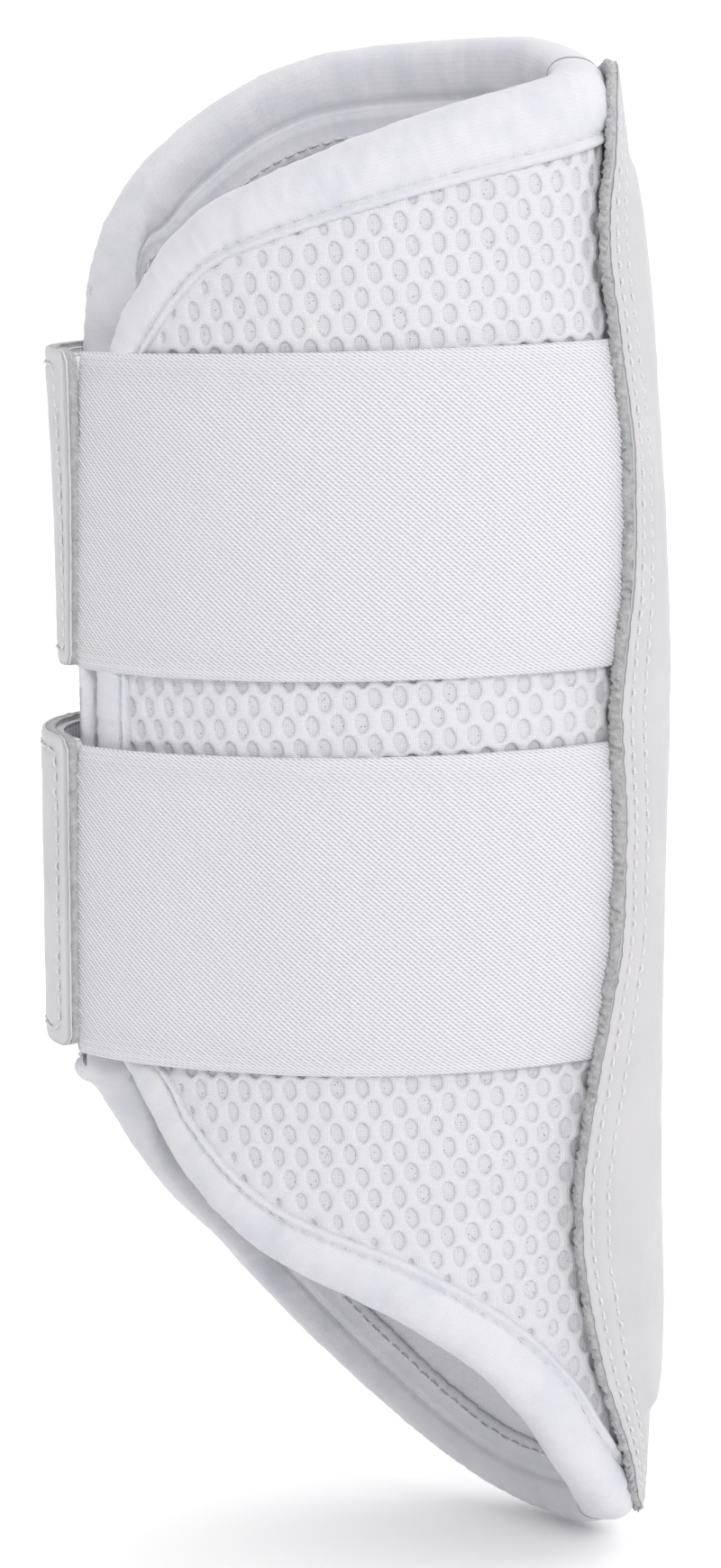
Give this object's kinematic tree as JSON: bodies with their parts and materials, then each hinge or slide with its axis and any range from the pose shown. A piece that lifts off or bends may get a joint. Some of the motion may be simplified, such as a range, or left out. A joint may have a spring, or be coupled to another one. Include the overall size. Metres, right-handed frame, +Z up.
{
  "type": "horse leg boot",
  "caption": "Closed hind brushing boot for a horse's leg: padded mesh shell, moulded strike guard at the back, elastic straps with hook-and-loop tabs round the nose.",
  "frame": {"origin": "on the leg channel's middle line, at the middle of the boot's height", "axes": "+Z up the leg; +X towards the back of the leg, where the strike guard is; -Y is the near side, where the elastics cross"},
  "size_m": [0.1266, 0.0732, 0.309],
  "materials": {
    "air_mesh": "knitted spacer mesh, matt",
    "foam": "closed-cell foam",
    "lining": "brushed knit, matt",
    "binding": "stretch tape with a fine rib, satin",
    "elastic": "woven elastic with a diagonal rib",
    "guard_leather": "smooth white synthetic leather",
    "insert_plastic": "moulded plate",
    "tab_leather": "smooth white synthetic leather",
    "hook_tape": "hook fastener tape",
    "loop_tape": "brushed loop fastener tape"
  },
  "bodies": {
    "guard": {"guard_shell": "guard_leather", "guard_insert": "insert_plastic", "rear_mesh": "air_mesh", "rear_foam": "foam", "rear_lining": "lining", "rear_top_binding": "binding", "rear_bottom_binding": "binding", "upper_elastic_anchor": "elastic", "lower_elastic_anchor": "elastic"},
    "near_panel": {"near_mesh": "air_mesh", "near_foam": "foam", "near_lining": "lining", "near_top_binding": "binding", "near_front_binding": "binding", "near_bottom_binding": "binding"},
    "far_panel": {"far_mesh": "air_mesh", "far_foam": "foam", "far_lining": "lining", "far_top_binding": "binding", "far_front_binding": "binding", "far_bottom_binding": "binding", "upper_loop_patch": "loop_tape", "lower_loop_patch": "loop_tape"},
    "upper_strap": {"upper_elastic": "elastic"},
    "upper_tab_wrap": {"upper_elastic_end": "elastic", "upper_tab": "tab_leather"},
    "upper_tab_end": {"upper_tab_tip": "tab_leather", "upper_hook_tape": "hook_tape"},
    "lower_strap": {"lower_elastic": "elastic"},
    "lower_tab_wrap": {"lower_elastic_end": "elastic", "lower_tab": "tab_leather"},
    "lower_tab_end": {"lower_tab_tip": "tab_leather", "lower_hook_tape": "hook_tape"}
  },
  "joints": [
    {"name": "near_panel_open", "type": "hinge", "parent": "guard", "child": "near_panel", "pos_m": [0.04583, -0.02106, 0], "axis": [0, 0, 1], "range_deg": [0, 28]},
    {"name": "far_panel_open", "type": "hinge", "parent": "guard", "child": "far_panel", "pos_m": [0.0261, 0.02895, 0], "axis": [0, 0, 1], "range_deg": [-10, 0]},
    {"name": "upper_strap_lift", "type": "hinge", "parent": "guard", "child": "upper_strap", "pos_m": [0.04583, -0.02106, 0.058], "axis": [0, 0, 1], "range_deg": [0, 31]},
    {"name": "upper_tab_unwrap", "type": "hinge", "parent": "upper_strap", "child": "upper_tab_wrap", "pos_m": [-0.05575, -0.0185, 0.058], "axis": [0, 0, 1], "range_deg": [0, 101]},
    {"name": "upper_tab_peel", "type": "hinge", "parent": "upper_tab_wrap", "child": "upper_tab_end", "pos_m": [-0.05408, 0.01994, 0.058], "axis": [0, 0, 1], "range_deg": [0, 100]},
    {"name": "lower_strap_lift", "type": "hinge", "parent": "guard", "child": "lower_strap", "pos_m": [0.04583, -0.02106, -0.021], "axis": [0, 0, 1], "range_deg": [0, 31]},
    {"name": "lower_tab_unwrap", "type": "hinge", "parent": "lower_strap", "child": "lower_tab_wrap", "pos_m": [-0.05575, -0.0185, -0.021], "axis": [0, 0, 1], "range_deg": [0, 101]},
    {"name": "lower_tab_peel", "type": "hinge", "parent": "lower_tab_wrap", "child": "lower_tab_end", "pos_m": [-0.05408, 0.01994, -0.021], "axis": [0, 0, 1], "range_deg": [0, 100]}
  ],
  "couplings": [
    {"joint": "far_panel_open", "follows": "near_panel_open", "ratio": -0.35},
    {"joint": "upper_strap_lift", "follows": "near_panel_open", "ratio": 1.1},
    {"joint": "upper_tab_unwrap", "follows": "near_panel_open", "ratio": 3.6},
    {"joint": "lower_strap_lift", "follows": "near_panel_open", "ratio": 1.1},
    {"joint": "lower_tab_unwrap", "follows": "near_panel_open", "ratio": 3.6}
  ]
}
